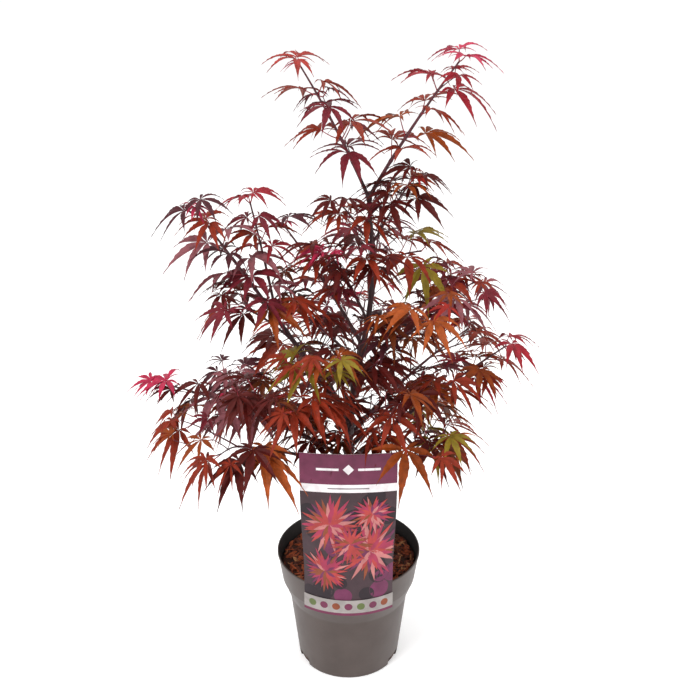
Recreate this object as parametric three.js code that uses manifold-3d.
// A young Japanese maple with finely cut red leaves, growing in a round plastic nursery pot filled with
// bark compost, with a plain plant label hooked over the rim at the front.
//
// Millimetres and degrees, +Z up. The origin is the centre of the pot's flat underside. The front, where the
// label hangs, faces -Y, and bearings run from +X (0) by the back (90) and the left (180) to the front (270).
//
// The tree is a trunk, one tapering bough for each limb, and one mass of leaves at the end of each bough.
// A limb is one curve: its bare first stretch is the bough, and the rest is the stem of the leaf mass, which
// carries opposite pairs of stalked leaves and, on branched limbs, side twigs with leaf pairs of their own.
import * as THREE from "three";
import { mergeVertices } from "three/addons/utils/BufferGeometryUtils.js";
import Module from "manifold-3d";

const wasm = await Module();
wasm.setup();

const GAP = 0.3; // clearance between neighbouring solids
const UP = new THREE.Vector3(0, 0, 1);
const RADIANS = Math.PI / 180;

const POT = {
  height: 168,
  rimRadius: 97,
  collarHeight: 41,
  collarFootRadius: 90.5,
  shoulderHeight: 25,
  waistRadius: 81,
  footRadius: 70,
  footBevel: 2.5,
  lip: 3.2,
  lipEdge: 0.8,
  wall: 1.8,
  floor: 2.4,
  sides: 32,
};
const DRAIN = { radius: 13, depth: 12, sides: 12, fromFront: [62, 118, 242, 298] };
const COMPOST = { level: 149, crown: 2.5, flatRadius: 16, wallGap: 0.4 };
const LABEL = {
  width: 122,
  height: 232,
  thickness: 0.9,
  bottom: 129,
  radius: 98.3,
  leanDeg: 4,
  standsFree: 48, // height above its bottom edge from which it leans and flattens
  flattenOver: 150,
  flatten: 0.72,
  across: 8,
  rows: 14,
  tongueWidth: 30,
  tongueDepth: 14,
  tongueLift: 0.8,
  tongueGap: 4.4,
  tongueRoot: 0.4,
};
const TRUNK = {
  height: 513.2,
  footRadius: 6.6,
  topRadius: 2.3,
  taper: 0.9,
  flare: 4.2,
  flareHeight: 12,
  lean: 29,
  leanFrom: 0.35,
  leanTo: 0.8,
  kickBack: 4.5,
  kickFrom: 0.85,
  sway: 5,
  swayTurns: 0.65,
  sides: 8,
  rings: 15,
  ringSpread: 1.3,
};
const LIMB = { thickness: 0.0135, thinnest: 1.3, tip: 0.95, sides: 5, rings: 3, fork: 0.45 };
const STEM = { sides: 3, sideTwig: 0.5, sideTwigVaries: [0.8, 1.1], twigRadius: 1.15, twigTip: 0.8 };
const PAIRS = {
  along: 0.66, // where a pair stands on its stretch of the stem
  lastAlong: 0.94, // and the last pair on a stem or a side twig
  firstOnTwig: 0.5,
  rolls: [10, 75], // each pair is turned across the one before
  twigRolls: [20, 60],
  rollVaries: 14,
  twigShares: [0.35, 0.75],
};
const STALK = {
  longest: 28,
  shortest: 14,
  varies: [0.8, 1.15],
  radius: 0.48,
  footRadius: 0.3,
  along: 0.5,
  aside: 0.85,
  lift: [0.1, 0.55],
};
const LEAF = {
  young: 0.74, // size at the stem's tip, as a share of the size at its start
  varies: [0.88, 1.1],
  turnVaries: 40,
  hangVaries: 16,
  stalkAngle: 30, // the least angle by which the blade turns down from its stalk
  droop: [0.2, 0.4],
  bend: 1.3,
  lobes: [-90, -44, 0, 44, 90],
  lobeLengths: [0.62, 0.9, 1, 0.9, 0.62],
  notch: 0.28,
  backAngle: 150,
  backNotch: 0.1,
  thickness: 1.3,
  crest: 0.2,
  shrink: 0.12,
  sideAngle: 75,
};
const TRIES = 12; // ways of setting each leaf that are compared, and the roomiest is kept
const LEAST_ROOM = 3.5; // a leaf with less free room than this is left out
const NEARBY = 220; // only what starts within this distance is looked at when room is measured
const SHARED = 0.3; // volume in mm3 by which two leaves of one mass may run through one another

// One row for each limb: the limb it grows on ("trunk" or another limb) and where (a height in mm on the
// trunk, a share of the length on a limb), the bearing, the reach and rise of its tip from there, how far it
// arches above the straight line, the share of it that is bare bough, its leaf pairs, how many of those are
// pairs of side twigs instead, how steeply its leaves hang, the size of its largest leaf, and its colour.
const LIMBS = [
  ["leader_left", "trunk", 659, 173, 79, 151, 6, 0.16, 5, 0, 4, 74, "crimson"],
  ["leader_right", "trunk", 661, 359, 100, 157, 4, 0.16, 5, 0, 4, 76, "crimson"],
  ["spur_right", "trunk", 602, 337, 51, 87, 4, 0.4, 4, 0, 10, 64, "red"],
  ["spur_left", "trunk", 596, 222, 48, 63, 4, 0.35, 3, 0, 12, 62, "red"],
  ["twig_right", "trunk", 574, 349, 79, 26, 10, 0.3, 4, 0, 10, 68, "olive"],
  ["centre_front", "trunk", 500, 237, 81, 110, 8, 0.35, 3, 2, 16, 66, "red"],
  ["crown_back", "trunk", 540, 82, 85, 59, 8, 0.35, 3, 1, 12, 64, "purple"],
  ["left_upper", "trunk", 360, 185, 181, 287, -6, 0.62, 6, 0, 8, 72, "purple"],
  ["left_fork", "left_upper", 0.52, 148, 35, 143, 4, 0.25, 5, 0, 8, 62, "crimson"],
  ["left_inner", "trunk", 466, 194, 96, 165, 5, 0.36, 6, 0, 10, 66, "purple"],
  ["left_mid", "left_upper", 0.4, 209, 94, 76, 14, 0.3, 3, 2, 18, 70, "red"],
  ["left_low", "trunk", 300, 179, 229, 109, 20, 0.4, 5, 1, 12, 74, "purple"],
  ["left_front", "trunk", 285, 205, 210, 87, 22, 0.42, 3, 2, 34, 86, "bronze"],
  ["left_back", "trunk", 318, 147, 195, 21, 18, 0.4, 3, 2, 14, 74, "purple"],
  ["right_upper", "trunk", 418, 1, 145, 133, 12, 0.4, 4, 2, 14, 70, "crimson"],
  ["right_upper_front", "trunk", 430, 321, 131, 111, 12, 0.36, 3, 2, 18, 74, "bronze"],
  ["right_mid", "trunk", 300, 359, 198, 168, 2, 0.58, 5, 0, 10, 68, "crimson"],
  ["right_low", "right_mid", 0.5, 322, 76, 60, 10, 0.25, 3, 1, 14, 74, "olive"],
  ["right_front", "trunk", 275, 320, 145, 91, 16, 0.42, 3, 2, 36, 84, "bronze"],
  ["right_back", "trunk", 335, 33, 195, 111, 16, 0.4, 3, 2, 14, 72, "red"],
  ["front_left", "trunk", 350, 233, 147, 88, 14, 0.4, 3, 2, 24, 78, "red"],
  ["front_mid", "trunk", 372, 260, 131, 129, 12, 0.4, 3, 1, 24, 76, "bronze"],
  ["front_right", "trunk", 345, 297, 136, 101, 14, 0.4, 3, 1, 24, 76, "red"],
  ["back_left", "trunk", 360, 122, 166, 77, 18, 0.4, 3, 1, 16, 74, "red"],
  ["back_mid", "trunk", 410, 84, 146, 62, 16, 0.4, 3, 1, 14, 70, "purple"],
  ["back_right", "trunk", 316, 51, 181, 25, 18, 0.4, 3, 1, 18, 76, "bronze"],
  ["mid_left", "trunk", 440, 203, 113, 111, 12, 0.34, 3, 2, 16, 70, "red"],
  ["front_low", "trunk", 262, 298, 77, 119, 10, 0.4, 3, 1, 30, 72, "bronze"],
].map(([name, on, at, bearing, reach, rise, arch, bare, pairs, branched, hang, leaf, tint], i) => ({
  name, on, at, bearing, reach, rise, arch, bare, pairs, branched, hang, leaf, tint, seed: 11 + 17 * i,
}));

// ---- Small helpers -------------------------------------------------------------------------------------

// A Lehmer generator, so that the same seeds give the same tree everywhere.
class Random {
  constructor(seed) {
    this.state = seed * 7919 + 104729;
    this.next();
  }
  next() {
    this.state = (this.state * 48271) % 2147483647;
    return this.state / 2147483647;
  }
  between(low, high) {
    return low + (high - low) * this.next();
  }
}

// Evenly spaced values from one to another, in so many steps.
function steps(from, to, count) {
  return Array.from({ length: count + 1 }, (_, i) => from + ((to - from) * i) / count);
}

function smooth(from, to, x) {
  const t = Math.min(1, Math.max(0, (x - from) / (to - from)));
  return t * t * (3 - 2 * t);
}

function heading(bearingDeg) {
  const a = bearingDeg * RADIANS;
  return new THREE.Vector3(Math.cos(a), Math.sin(a), 0);
}

// A sum of vectors, each with its weight.
function mix(...pairs) {
  const out = new THREE.Vector3();
  for (let i = 0; i < pairs.length; i += 2) out.addScaledVector(pairs[i], pairs[i + 1]);
  return out;
}

// The direction from one point to another.
function toward(from, to) {
  return mix(to, 1, from, -1).normalize();
}

// A manifold-3d solid from a closed three.js geometry.
function solidOf(geometry) {
  const bare = new THREE.BufferGeometry();
  bare.setAttribute("position", geometry.getAttribute("position"));
  bare.setIndex(geometry.getIndex());
  const merged = mergeVertices(bare, 1e-4);
  return new wasm.Manifold(
    new wasm.Mesh({
      numProp: 3,
      vertProperties: merged.getAttribute("position").array,
      triVerts: new Uint32Array(merged.getIndex().array),
    }),
  );
}

// A three.js geometry from a manifold-3d solid.
function geometryOf(solid) {
  const mesh = solid.getMesh();
  const positions = new Float32Array(mesh.numVert * 3);
  for (let i = 0; i < mesh.numVert; i++) {
    positions.set(mesh.vertProperties.subarray(i * mesh.numProp, i * mesh.numProp + 3), i * 3);
  }
  const geometry = new THREE.BufferGeometry();
  geometry.setAttribute("position", new THREE.BufferAttribute(positions, 3));
  geometry.setIndex(new THREE.BufferAttribute(new Uint32Array(mesh.triVerts), 1));
  geometry.computeVertexNormals();
  return geometry;
}

// The largest of the bodies that a solid falls into.
function largestBody(solid) {
  return solid.decompose().sort((a, b) => b.volume() - a.volume())[0];
}

// A closed tapering rod along a path: a cylinder whose rings are moved onto it. at lists where the rings
// stand, frameAt(t) gives a ring's centre and its two crosswise directions, and radiusAt(t) its radius.
function rod(at, frameAt, radiusAt, sides) {
  const rings = at.length - 1;
  const geometry = new THREE.CylinderGeometry(1, 1, 1, sides, rings);
  const position = geometry.getAttribute("position");
  for (let i = 0; i < position.count; i++) {
    const t = at[Math.round((position.getY(i) + 0.5) * rings)];
    const { centre, side, normal } = frameAt(t);
    const r = radiusAt(t);
    const moved = mix(centre, 1, side, r * position.getZ(i), normal, r * position.getX(i));
    position.setXYZ(i, moved.x, moved.y, moved.z);
  }
  return solidOf(geometry);
}

// ---- Pot, compost and label ----------------------------------------------------------------------------

const shoulderTop = POT.height - POT.collarHeight;
const shoulderFoot = shoulderTop - POT.shoulderHeight;

function lathe(profile) {
  const points = profile.map(([r, z]) => new THREE.Vector2(r, z));
  return solidOf(new THREE.LatheGeometry(points, POT.sides).rotateX(Math.PI / 2));
}

// The pot's inner radius at a height, one wall in from the outside.
function innerRadius(z) {
  const outline = [
    [0, POT.footRadius],
    [shoulderFoot, POT.waistRadius],
    [shoulderTop, POT.collarFootRadius],
    [POT.height, POT.rimRadius],
  ];
  const i = Math.max(1, outline.findIndex(([top]) => z <= top));
  const [z0, r0] = outline[i - 1];
  const [z1, r1] = outline[i];
  return r0 + ((r1 - r0) * (z - z0)) / (z1 - z0) - POT.wall;
}

function pot() {
  const { height, rimRadius, footRadius, footBevel, lip, lipEdge, floor, wall } = POT;
  const shell = lathe([
    [0, 0],
    [footRadius - footBevel, 0],
    [footRadius, footBevel],
    [POT.waistRadius, shoulderFoot],
    [POT.collarFootRadius, shoulderTop],
    [rimRadius, height - lip],
    [rimRadius, height - lipEdge],
    [rimRadius - lipEdge, height],
    [rimRadius - wall, height],
    [innerRadius(shoulderTop), shoulderTop],
    [innerRadius(shoulderFoot), shoulderFoot],
    [innerRadius(floor), floor],
    [0, floor],
  ]);
  // Half-round drain holes through the corner between wall and floor.
  return DRAIN.fromFront.reduce((solid, angle) => {
    const hole = new THREE.CylinderGeometry(DRAIN.radius, DRAIN.radius, 2 * DRAIN.depth, DRAIN.sides);
    hole.translate(0, -footRadius, 0);
    hole.rotateZ(angle * RADIANS);
    return solid.subtract(solidOf(hole));
  }, shell);
}

function compost() {
  const { level, crown, flatRadius, wallGap } = COMPOST;
  const bottom = POT.floor + GAP;
  const rim = [bottom, shoulderFoot, shoulderTop, level].map((z) => [innerRadius(z) - wallGap, z]);
  return lathe([[0, bottom], ...rim, [flatRadius, level + crown], [0, level + crown]]);
}

// A point of the label: u runs across from its middle line, v up from its bottom edge, and depth in from
// its face. It bends round the pot's collar at the bottom and opens out flatter towards the top.
function labelPoint(u, v, depth) {
  const free = v - LABEL.standsFree;
  const bend = (1 - smooth(0, LABEL.flattenOver, free) * LABEL.flatten) / LABEL.radius;
  const lean = Math.max(0, free) * Math.sin(LABEL.leanDeg * RADIANS);
  const r = 1 / bend - depth;
  const y = 1 / bend - LABEL.radius - r * Math.cos(u * bend) + lean;
  return new THREE.Vector3(r * Math.sin(u * bend), y, LABEL.bottom + v);
}

function label() {
  const { width, height, thickness, tongueWidth, radius } = LABEL;
  const card = new THREE.BoxGeometry(width, thickness, height, LABEL.across, 1, LABEL.rows);
  const position = card.getAttribute("position");
  for (let i = 0; i < position.count; i++) {
    const depth = position.getY(i) + thickness / 2;
    const moved = labelPoint(position.getX(i), position.getZ(i) + height / 2, depth);
    position.setXYZ(i, moved.x, moved.y, moved.z);
  }
  // The tongue: a hook over the rim that hangs inside the pot, drawn from the side and pushed across.
  const outside = radius - LABEL.tongueRoot;
  const inside = POT.rimRadius - POT.wall - LABEL.tongueGap;
  const top = POT.height + LABEL.tongueLift;
  const hook = new THREE.Shape([
    new THREE.Vector2(outside, top),
    new THREE.Vector2(outside, top + thickness),
    new THREE.Vector2(inside - thickness, top + thickness),
    new THREE.Vector2(inside - thickness, top - LABEL.tongueDepth),
    new THREE.Vector2(inside, top - LABEL.tongueDepth),
    new THREE.Vector2(inside, top),
  ]);
  const tongue = new THREE.ExtrudeGeometry(hook, { depth: tongueWidth, bevelEnabled: false });
  const [front, left] = [new THREE.Vector3(0, -1, 0), new THREE.Vector3(-1, 0, 0)];
  tongue.applyMatrix4(new THREE.Matrix4().makeBasis(front, UP, left));
  tongue.translate(tongueWidth / 2, 0, 0);
  return solidOf(card).add(solidOf(tongue));
}

// ---- Trunk and limbs -----------------------------------------------------------------------------------

const groundLevel = COMPOST.level + COMPOST.crown + GAP;

function trunkCentre(t) {
  const lean = TRUNK.lean * smooth(TRUNK.leanFrom, TRUNK.leanTo, t);
  const x = lean - TRUNK.kickBack * smooth(TRUNK.kickFrom, 1, t);
  const y = TRUNK.sway * Math.sin(2 * Math.PI * TRUNK.swayTurns * t);
  return new THREE.Vector3(x, y, groundLevel + TRUNK.height * t);
}

function trunkRadius(t) {
  const flare = TRUNK.flare * Math.exp((-TRUNK.height * t) / TRUNK.flareHeight);
  return TRUNK.footRadius + (TRUNK.topRadius - TRUNK.footRadius) * t ** TRUNK.taper + flare;
}

// The trunk's rings lie level, so the cut at its foot is flat, and stand closer together near it.
function trunk(extra = 0) {
  const [side, normal] = [heading(0), heading(90)];
  const frameAt = (t) => ({ centre: trunkCentre(t), side, normal });
  const at = steps(0, 1, TRUNK.rings).map((t) => t ** TRUNK.ringSpread);
  return rod(at, frameAt, (t) => trunkRadius(t) + extra, TRUNK.sides);
}

// A limb's whole curve, from the middle of what it grows on to the tip of its leafy stem.
function limbCurve(row, limbs) {
  const start =
    row.on === "trunk"
      ? trunkCentre((row.at - groundLevel) / TRUNK.height)
      : limbs.get(row.on).curve.getPoint(row.at);
  const out = heading(row.bearing);
  const middle = mix(start, 1, out, row.reach * LIMB.fork, UP, row.rise / 2 + row.arch);
  const tip = mix(start, 1, out, row.reach, UP, row.rise);
  return new THREE.QuadraticBezierCurve3(start, middle, tip);
}

function limbLength(row) {
  return Math.hypot(row.reach, row.rise);
}

// The radius at share t of a limb: a share of its length at the start, down to a thin tip.
function limbRadius(row, t) {
  const start = Math.max(LIMB.thinnest, limbLength(row) * LIMB.thickness);
  return start + (LIMB.tip - start) * t;
}

// A stretch of a limb as a rod. The curve is plane, so the direction across that plane never turns.
function limbRod(row, curve, at, sides, extra = 0) {
  const side = heading(row.bearing + 90);
  const frameAt = (t) => ({
    centre: curve.getPoint(t),
    side,
    normal: curve.getTangent(t).cross(side),
  });
  return rod(at, frameAt, (t) => limbRadius(row, t) + extra, sides);
}

function boughRod(row, curve, extra = 0) {
  return limbRod(row, curve, steps(0, row.bare, LIMB.rings), LIMB.sides, extra);
}

// The shares of a limb where its stem's rings stand: one stretch for each leaf pair.
function stemShares(row) {
  return steps(row.bare, 1, row.pairs);
}

// Where a leaf pair stands: part of the way along its stretch of the stem, the last one nearly at the tip.
function pairPlace(row, curve, i) {
  const [from, to] = stemShares(row).slice(i, i + 2).map((t) => curve.getPoint(t));
  const share = i === row.pairs - 1 ? PAIRS.lastAlong : PAIRS.along;
  return { base: mix(from, 1 - share, to, share), along: toward(from, to) };
}

// A straight three-sided twig between two points.
function twigSolid({ base, end }) {
  const along = toward(base, end);
  const side = along.clone().cross(UP).normalize();
  const normal = along.clone().cross(side);
  const frameAt = (t) => ({ centre: mix(base, 1 - t, end, t), side, normal });
  return rod([0, 1], frameAt, (t) => STEM.twigRadius + (STEM.twigTip - STEM.twigRadius) * t, STEM.sides);
}

// ---- Leaves --------------------------------------------------------------------------------------------

// A point in the direction of an angle on the blade, so far out as a share of the leaf's size. The blade
// bends down and in, the more the further out.
function bladePoint(leaf, angleDeg, share) {
  const a = angleDeg * RADIANS;
  const out = leaf.size * share * (1 - LEAF.shrink);
  return mix(
    leaf.hub, 1,
    leaf.forward, out * Math.cos(a),
    leaf.across, out * Math.sin(a),
    UP, -leaf.size * leaf.droop * share ** LEAF.bend,
  );
}

// The blade's outline from one back notch round to the other: five lobe tips with a notch between each.
function bladeOutline(leaf) {
  const outline = [{ angle: -LEAF.backAngle, length: LEAF.backNotch }];
  LEAF.lobes.forEach((angle, i) => {
    if (i) outline.push({ angle: (angle + LEAF.lobes[i - 1]) / 2, length: LEAF.notch });
    outline.push({ angle, length: LEAF.lobeLengths[i], tip: true });
  });
  outline.push({ angle: LEAF.backAngle, length: LEAF.backNotch });
  return outline.map((o) => ({ ...o, point: bladePoint(leaf, o.angle, o.length) }));
}

// A leaf on its stalk as one closed mesh: a five-lobed star on top, and a keeled underside that narrows
// into a three-sided stalk, whose cut end lies inside the twig.
function leafSolid(leaf) {
  const outline = bladeOutline(leaf);
  const stalk = toward(leaf.base, leaf.hub);
  const front = mix(leaf.forward, 1, stalk, -leaf.forward.dot(stalk)).normalize();
  const left = stalk.clone().cross(front);
  const around = (centre, r) =>
    [0, 120, 240].map((a) => {
      const [c, s] = [Math.cos(a * RADIANS), Math.sin(a * RADIANS)];
      return mix(centre, 1, front, r * c, left, r * s);
    });
  const vertices = [
    mix(leaf.hub, 1, leaf.normal, LEAF.crest),
    ...around(mix(leaf.hub, 1, leaf.normal, -LEAF.thickness), STALK.radius),
    ...around(leaf.base, STALK.footRadius),
    ...outline.map((o) => o.point),
  ];
  const [HUB, NECK, FOOT, RIM] = [0, 1, 4, 7];
  const faces = [];

  // The top: a triangle for each lobe beyond its notches, and a fan within them.
  const inner = [];
  outline.forEach((o, i) => {
    if (o.tip) faces.push([RIM + i - 1, RIM + i, RIM + i + 1]);
    else inner.push(RIM + i);
  });
  inner.forEach((v, i) => faces.push([HUB, v, inner[(i + 1) % inner.length]]));

  // The underside: each edge of the outline goes to the corner of the stalk that faces it, and a corner
  // hands over to the next one at the point of the outline that they share.
  const cornerAt = (angle) => (Math.abs(angle) < LEAF.sideAngle ? 0 : angle > 0 ? 1 : 2);
  const corners = outline.map((o, i) => {
    const next = outline[i + 1];
    return next ? cornerAt((o.angle + next.angle) / 2) : 1;
  });
  outline.forEach((o, i) => {
    const next = (i + 1) % outline.length;
    faces.push([RIM + next, RIM + i, NECK + corners[i]]);
    if (corners[next] !== corners[i]) {
      faces.push([NECK + corners[i], NECK + corners[next], RIM + next]);
    }
  });

  for (let k = 0; k < 3; k++) {
    const n = (k + 1) % 3;
    faces.push([NECK + n, NECK + k, FOOT + k], [NECK + n, FOOT + k, FOOT + n]);
  }
  faces.push([FOOT, FOOT + 2, FOOT + 1]);

  const geometry = new THREE.BufferGeometry();
  const positions = new Float32Array(vertices.flatMap((v) => v.toArray()));
  geometry.setAttribute("position", new THREE.BufferAttribute(positions, 3));
  geometry.setIndex(faces.flat());
  return solidOf(geometry);
}

// The straight lines that stand for a leaf when its room is measured: its stalk and one along each lobe.
function leafLines(leaf) {
  const lobes = bladeOutline(leaf).filter((o) => o.tip);
  return [[mix(leaf.base, 0.6, leaf.hub, 0.4), leaf.hub], ...lobes.map((o) => [leaf.hub, o.point])];
}

// The least distance between two straight lines that end.
function lineDistance([a, b], [c, d]) {
  const u = mix(b, 1, a, -1);
  const v = mix(d, 1, c, -1);
  const w = mix(a, 1, c, -1);
  const [uu, uv, vv, uw, vw] = [u.dot(u), u.dot(v), v.dot(v), u.dot(w), v.dot(w)];
  const clamp = (x) => Math.min(1, Math.max(0, x));
  const crosswise = uu * vv - uv * uv;
  const s = crosswise > 1e-9 ? clamp((uv * vw - vv * uw) / crosswise) : 0;
  const t = clamp((uv * s + vw) / vv);
  return mix(w, 1, u, clamp((uv * t - uw) / uu), v, -t).length();
}

// The least distance from any of the lines to any of those already taken.
function room(lines, taken) {
  return Math.min(...lines.flatMap((line) => taken.map((other) => lineDistance(line, other))));
}

// One leaf: its stalk leaves the twig at base, on the side that aside points to. Several ways of setting it
// are compared, and the one with the most room from everything already placed is kept.
function placeLeaf(row, base, along, aside, share, random, taken) {
  const size = row.leaf * (1 + (LEAF.young - 1) * share) * random.between(...LEAF.varies);
  const stalkLength = STALK.longest + (STALK.shortest - STALK.longest) * share;
  const near = taken.filter(([start]) => start.distanceTo(base) < NEARBY);
  let best = null;
  for (let i = 0; i < TRIES; i++) {
    const lift = random.between(...STALK.lift);
    const stalk = mix(along, STALK.along, aside, STALK.aside, UP, lift).normalize();
    const hub = mix(base, 1, stalk, stalkLength * random.between(...STALK.varies));
    const turn = Math.atan2(stalk.y, stalk.x) / RADIANS + random.between(-1, 1) * LEAF.turnVaries;
    const hang = row.hang + random.between(-1, 1) * LEAF.hangVaries;
    const pitch = Math.max(hang, LEAF.stalkAngle - Math.asin(stalk.z) / RADIANS) * RADIANS;
    const forward = mix(heading(turn), Math.cos(pitch), UP, -Math.sin(pitch));
    const across = heading(turn + 90);
    const normal = forward.clone().cross(across);
    const leaf = { base, hub, forward, across, normal, size, droop: random.between(...LEAF.droop) };
    const free = room(leafLines(leaf), near);
    if (!best || free > best.free) best = { ...leaf, free };
  }
  return best.free < LEAST_ROOM ? null : best;
}

// What grows on one leafy stem: its side twigs and its leaves, worked out from the row's seed.
function growMass(row, curve, taken) {
  const random = new Random(row.seed);
  const across = heading(row.bearing + 90);
  const leaves = [];
  const twigs = [];
  const addPair = (base, along, roll, share) => {
    const over = along.clone().cross(across);
    for (const way of [1, -1]) {
      const turned = (roll + random.between(-1, 1) * PAIRS.rollVaries) * RADIANS;
      const aside = mix(across, way * Math.cos(turned), over, way * Math.sin(turned));
      const leaf = placeLeaf(row, base, along, aside, share, random, taken);
      if (!leaf) continue;
      leaves.push(leaf);
      taken.push(...leafLines(leaf));
    }
  };
  const addTwig = (base, along, way) => {
    const length = limbLength(row) * (1 - row.bare) * STEM.sideTwig;
    const direction = mix(along, 0.7, across, way * 0.75, UP, random.between(0, 0.3)).normalize();
    const end = mix(base, 1, direction, length * random.between(...STEM.sideTwigVaries));
    twigs.push({ base, end });
    taken.push([mix(base, 0.9, end, 0.1), end]);
    [PAIRS.firstOnTwig, PAIRS.lastAlong].forEach((t, k) => {
      addPair(mix(base, 1 - t, end, t), direction, PAIRS.twigRolls[k] * way, PAIRS.twigShares[k]);
    });
  };
  for (let i = 0; i < row.pairs; i++) {
    const { base, along } = pairPlace(row, curve, i);
    if (i < row.branched) {
      addTwig(base, along, 1);
      addTwig(base, along, -1);
    } else {
      addPair(base, along, PAIRS.rolls[i % 2], (i + 1) / row.pairs);
    }
  }
  return { leaves, twigs };
}

// ---- Assembly ------------------------------------------------------------------------------------------

const COLOURS = {
  pot: [0x6f645f, 0.45],
  compost: [0x4a2413, 0.95],
  label: [0x80435a, 0.4],
  bark: [0x33181c, 0.7],
  crimson: [0xb0263f, 0.5],
  red: [0x8e2320, 0.5],
  purple: [0x5c2a33, 0.5],
  bronze: [0x84401c, 0.5],
  olive: [0x6b6121, 0.5],
};

const model = new THREE.Group();
const placed = []; // every solid that is already in the model, with its bounding box

function boxed(solid) {
  return { solid, box: solid.boundingBox() };
}

function addNode(name, solid, colour) {
  const [color, roughness] = COLOURS[colour];
  const material = new THREE.MeshStandardMaterial({ color, roughness, metalness: 0 });
  const mesh = new THREE.Mesh(geometryOf(solid), material);
  mesh.name = name;
  model.add(mesh);
  placed.push(boxed(solid));
}

// Whether a solid shares more than the allowed volume with any of the others.
function touches({ solid, box }, others, allowed = 0) {
  const boxesMeet = (b) => [0, 1, 2].every((k) => box.min[k] <= b.max[k] && b.min[k] <= box.max[k]);
  return others.some((o) => boxesMeet(o.box) && solid.intersect(o.solid).volume() > allowed);
}

addNode("pot", pot(), "pot");
addNode("compost", compost(), "compost");
addNode("plant_label", label(), "label");
addNode("trunk", trunk(), "bark");

const limbs = new Map();
for (const row of LIMBS) limbs.set(row.name, { row, curve: limbCurve(row, limbs) });

// Each bough is cut clear of the trunk and of every bough before it, so it starts a gap beyond the limb that
// it grows on.
const cutters = [trunk(GAP)];
for (const { row, curve } of limbs.values()) {
  const bough = cutters.reduce((solid, cutter) => solid.subtract(cutter), boughRod(row, curve));
  addNode(`bough_${row.name}`, largestBody(bough), "bark");
  cutters.push(boughRod(row, curve, GAP));
}

// Each leafy stem starts a gap beyond the end of its bough.
const stems = new Map();
for (const { row, curve } of limbs.values()) {
  const at = stemShares(row);
  at[0] += GAP / limbLength(row);
  stems.set(row.name, boxed(limbRod(row, curve, at, STEM.sides)));
}

// The lines already taken before the first leaf: along the trunk and limbs, and up the label.
const chain = (points) => points.slice(1).map((point, i) => [points[i], point]);
const taken = chain(steps(0, 1, 12).map(trunkCentre));
for (const { curve } of limbs.values()) taken.push(...chain(curve.getPoints(6)));
for (const u of steps(-LABEL.width / 2, LABEL.width / 2, 6)) {
  taken.push(...chain(steps(0, LABEL.height, 2).map((v) => labelPoint(u, v, 0))));
}

// Each mass keeps to its own space: a leaf or side twig that would touch any other node, or a leaf of the
// same mass, is left out. What is kept is fused to the stem, and all that holds together is the node.
for (const { row, curve } of limbs.values()) {
  const otherStems = [...stems].filter(([name]) => name !== row.name).map(([, stem]) => stem);
  const others = [...placed, ...otherStems];
  const { leaves, twigs } = growMass(row, curve, taken);
  const keptTwigs = twigs.map(twigSolid).map(boxed).filter((twig) => !touches(twig, others));
  const keptLeaves = [];
  for (const leaf of leaves.map(leafSolid).map(boxed)) {
    if (!touches(leaf, others) && !touches(leaf, keptLeaves, SHARED)) keptLeaves.push(leaf);
  }
  const mass = [...keptTwigs, ...keptLeaves].reduce(
    (whole, piece) => whole.add(piece.solid),
    stems.get(row.name).solid,
  );
  addNode(`leaves_${row.name}`, largestBody(mass), row.tint);
}

export default model;
